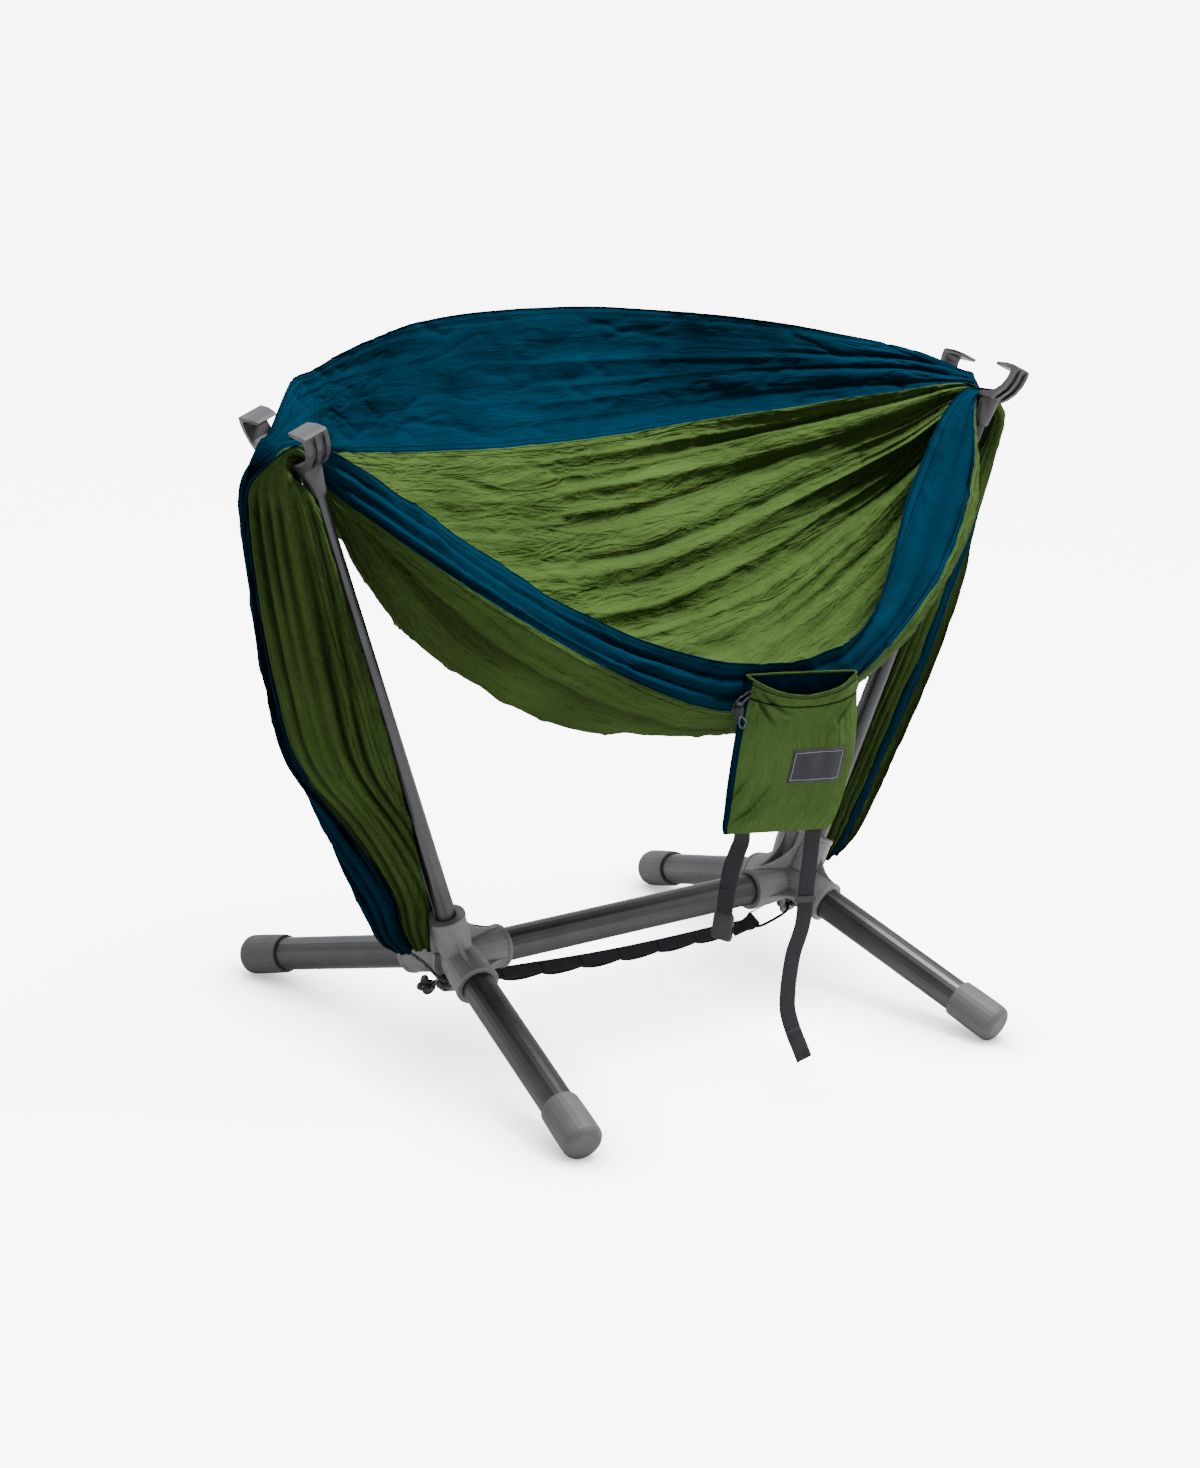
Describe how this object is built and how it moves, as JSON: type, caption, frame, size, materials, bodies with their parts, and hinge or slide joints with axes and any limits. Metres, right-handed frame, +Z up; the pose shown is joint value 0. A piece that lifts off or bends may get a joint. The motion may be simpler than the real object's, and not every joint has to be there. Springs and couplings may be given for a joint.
{
  "type": "hammock with stand",
  "caption": "Portable hammock on a low folding-size stand: spine tube, hub castings, four legs, four uprights with hooks, draped cloth and stuff sack.",
  "frame": {"origin": "on the ground under the middle of the spine tube", "axes": "+X along the spine to the end with the clip, +Z up, -Y the side that carries the sack"},
  "size_m": [1.4257, 0.8238, 1.0133],
  "materials": {
    "anodised_tube": "satin anodised",
    "black_clip": "satin black",
    "black_cord": "braided",
    "foot_rubber": "matt",
    "glass_filled_nylon": "moulded, fine grain",
    "green_nylon_cloth": "woven nylon",
    "grey_acetal": "moulded, satin",
    "grey_webbing": "woven webbing",
    "hook_nylon": "moulded, satin",
    "steel_wire": "polished wire",
    "teal_nylon_cloth": "woven nylon",
    "woven_patch": "woven label, blank"
  },
  "bodies": {
    "stand": {"buckle_socket": "grey_acetal", "clip_body": "black_clip", "cord_lock": "grey_acetal", "draw_cord": "black_cord", "end_cord_left": "black_cord", "end_cord_right": "black_cord", "hook_head_left_far": "hook_nylon", "hook_head_left_near": "hook_nylon", "hook_head_right_far": "hook_nylon", "hook_head_right_near": "hook_nylon", "hub_left": "glass_filled_nylon", "hub_right": "glass_filled_nylon", "long_strap": "grey_webbing", "panel_centre": "green_nylon_cloth", "panel_far": "teal_nylon_cloth", "panel_near": "teal_nylon_cloth", "sack_body": "green_nylon_cloth", "sack_patch": "woven_patch", "short_strap": "grey_webbing", "spine_strap": "grey_webbing", "spine_tube": "anodised_tube", "upright_pole_left_far": "anodised_tube", "upright_pole_left_near": "anodised_tube", "upright_pole_right_far": "anodised_tube", "upright_pole_right_near": "anodised_tube"},
    "leg_left_near": {"leg_tube_left_near": "anodised_tube", "foot_cap_left_near": "foot_rubber"},
    "leg_left_far": {"leg_tube_left_far": "anodised_tube", "foot_cap_left_far": "foot_rubber"},
    "leg_right_near": {"leg_tube_right_near": "anodised_tube", "foot_cap_right_near": "foot_rubber"},
    "leg_right_far": {"leg_tube_right_far": "anodised_tube", "foot_cap_right_far": "foot_rubber"},
    "gate": {"clip_gate": "steel_wire"},
    "button": {"lock_button": "grey_acetal"},
    "slider": {"strap_slider": "grey_acetal"}
  },
  "joints": [
    {"name": "leg_left_near_slide", "type": "slide", "parent": "stand", "child": "leg_left_near", "axis": [-0.1737, -0.9372, -0.3024], "range_m": [0, 0.045]},
    {"name": "leg_left_far_slide", "type": "slide", "parent": "stand", "child": "leg_left_far", "axis": [-0.1737, 0.9372, -0.3024], "range_m": [0, 0.045]},
    {"name": "leg_right_near_slide", "type": "slide", "parent": "stand", "child": "leg_right_near", "axis": [0.1737, -0.9372, -0.3024], "range_m": [0, 0.045]},
    {"name": "leg_right_far_slide", "type": "slide", "parent": "stand", "child": "leg_right_far", "axis": [0.1737, 0.9372, -0.3024], "range_m": [0, 0.045]},
    {"name": "gate_hinge", "type": "hinge", "parent": "stand", "child": "gate", "pos_m": [0.27009, 0.01128, 0.09775], "axis": [0.2154, 0.5601, -0.7999], "range_deg": [0, 24], "stiffness_Nm_per_rad": 0.02, "springref_deg": -17.19},
    {"name": "button_press", "type": "slide", "parent": "stand", "child": "button", "axis": [0, 0, -1], "range_m": [0, 0.003], "stiffness_N_per_m": 300, "springref_m": -0.002},
    {"name": "slider_slide", "type": "slide", "parent": "stand", "child": "slider", "axis": [-0.0255, -0.0034, -0.9997], "range_m": [-0.05, 0.02]}
  ]
}
